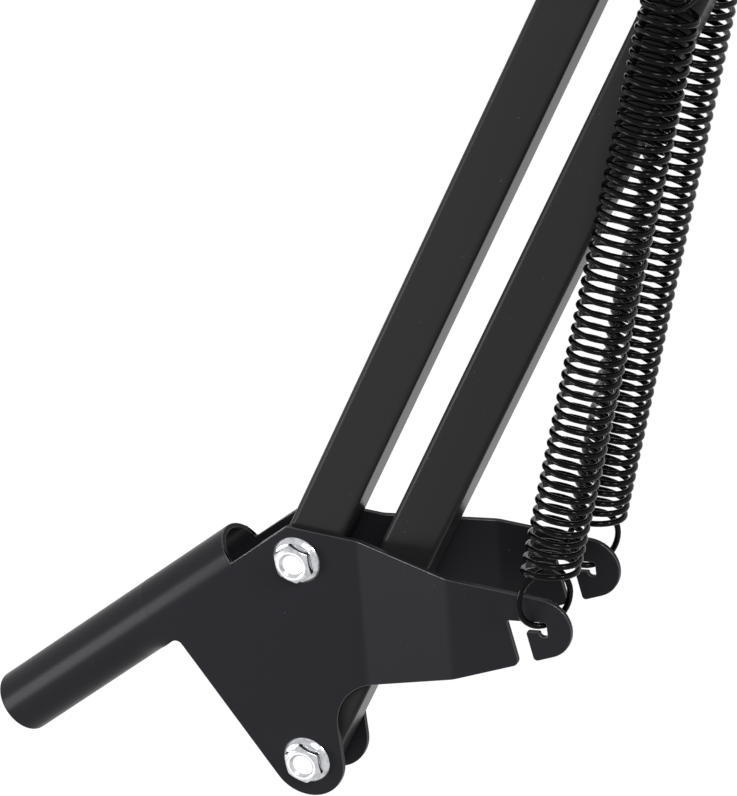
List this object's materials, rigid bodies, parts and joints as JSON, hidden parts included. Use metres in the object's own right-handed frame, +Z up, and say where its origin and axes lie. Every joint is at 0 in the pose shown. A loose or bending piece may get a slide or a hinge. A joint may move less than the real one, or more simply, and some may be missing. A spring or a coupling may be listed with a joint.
{
  "type": "microphone boom arm",
  "caption": "Spring-balanced parallelogram desk arm of square tubes with extension springs, on a spigot bracket with hooked ears, ending in a tilting threaded microphone stud.",
  "frame": {"origin": "on the spigot's axis at its shoulder, where the tube opens into the two cheeks", "axes": "+Z up along the spigot, -X the way the arm leans and the microphone end points, +Y across the arm from the bolt heads to the nuts"},
  "size_m": [0.5408, 0.0418, 0.4932],
  "materials": {
    "black_coat": "satin black powder coat",
    "spring_wire": "gloss black",
    "bright_zinc": "bright zinc plate",
    "bush_nylon": "plain nylon",
    "sleeve_steel": "zinc plate",
    "knob_plastic": "moulded, fine texture",
    "insert_brass": "turned"
  },
  "bodies": {
    "base": {"base_bracket": "black_coat", "base_pivot_bolts": "bright_zinc", "base_pivot_nuts": "bright_zinc", "base_pivot_bushes": "bush_nylon"},
    "lower_front": {"lower_front_bar": "black_coat"},
    "lower_rear": {"lower_rear_bar": "black_coat", "lower_spring_post_bolt": "bright_zinc", "lower_spring_post_nut": "bright_zinc", "lower_spring_post_sleeve_near": "sleeve_steel", "lower_spring_post_sleeve_far": "sleeve_steel", "lower_spring_near": "spring_wire", "lower_spring_far": "spring_wire"},
    "elbow": {"elbow_plate_near": "black_coat", "elbow_plate_far": "black_coat", "elbow_pivot_bolts": "bright_zinc", "elbow_pivot_nuts": "bright_zinc", "elbow_pivot_bushes": "bush_nylon", "elbow_spring_post_bolt": "bright_zinc", "elbow_spring_post_nut": "bright_zinc", "elbow_spring_post_sleeve_near": "sleeve_steel", "elbow_spring_post_sleeve_far": "sleeve_steel"},
    "upper_high": {"upper_high_bar": "black_coat", "upper_spring_post_bolt": "bright_zinc", "upper_spring_post_nut": "bright_zinc", "upper_spring_post_sleeve_near": "sleeve_steel", "upper_spring_post_sleeve_far": "sleeve_steel", "upper_spring_near": "spring_wire", "upper_spring_far": "spring_wire"},
    "upper_low": {"upper_low_bar": "black_coat"},
    "head": {"head_plate_near": "black_coat", "head_plate_far": "black_coat", "head_pivot_bolts": "bright_zinc", "head_pivot_nuts": "bright_zinc", "head_pivot_bushes": "bush_nylon", "tilt_screw": "bright_zinc"},
    "tilt": {"tilt_block": "black_coat", "mic_stud": "bright_zinc"},
    "knob": {"tilt_knob": "knob_plastic", "knob_insert": "insert_brass"}
  },
  "joints": [
    {"name": "lower_arm_pitch", "type": "hinge", "parent": "base", "child": "lower_front", "pos_m": [0.0056, 0, 0.037], "axis": [0, -1, 0], "range_deg": [-30, 8]},
    {"name": "lower_rear_pitch", "type": "hinge", "parent": "base", "child": "lower_rear", "pos_m": [0.0388, 0, 0.0096], "axis": [0, -1, 0], "range_deg": [-30, 8], "deforming": ["lower_spring_near", "lower_spring_far"]},
    {"name": "elbow_level", "type": "hinge", "parent": "lower_front", "child": "elbow", "pos_m": [-0.1397, 0, 0.34439], "axis": [0, -1, 0], "range_deg": [-8, 30]},
    {"name": "upper_arm_pitch", "type": "hinge", "parent": "elbow", "child": "upper_high", "pos_m": [-0.13996, 0, 0.38831], "axis": [0, -1, 0], "range_deg": [-45, 50], "deforming": ["upper_spring_near", "upper_spring_far"]},
    {"name": "upper_low_pitch", "type": "hinge", "parent": "elbow", "child": "upper_low", "pos_m": [-0.1417, 0, 0.36839], "axis": [0, -1, 0], "range_deg": [-45, 50]},
    {"name": "head_level", "type": "hinge", "parent": "upper_high", "child": "head", "pos_m": [-0.4551, 0, 0.44388], "axis": [0, -1, 0], "range_deg": [-50, 45]},
    {"name": "mic_tilt", "type": "hinge", "parent": "head", "child": "tilt", "pos_m": [-0.48084, 0, 0.41996], "axis": [0, 1, 0], "range_deg": [-30, 100]},
    {"name": "tilt_knob_turn", "type": "hinge", "parent": "head", "child": "knob", "pos_m": [-0.48084, 0, 0.41996], "axis": [0, 1, 0], "continuous": true}
  ],
  "couplings": [
    {"joint": "lower_rear_pitch", "follows": "lower_arm_pitch", "ratio": 1},
    {"joint": "elbow_level", "follows": "lower_arm_pitch", "ratio": -1},
    {"joint": "upper_low_pitch", "follows": "upper_arm_pitch", "ratio": 1},
    {"joint": "head_level", "follows": "upper_arm_pitch", "ratio": -1}
  ]
}
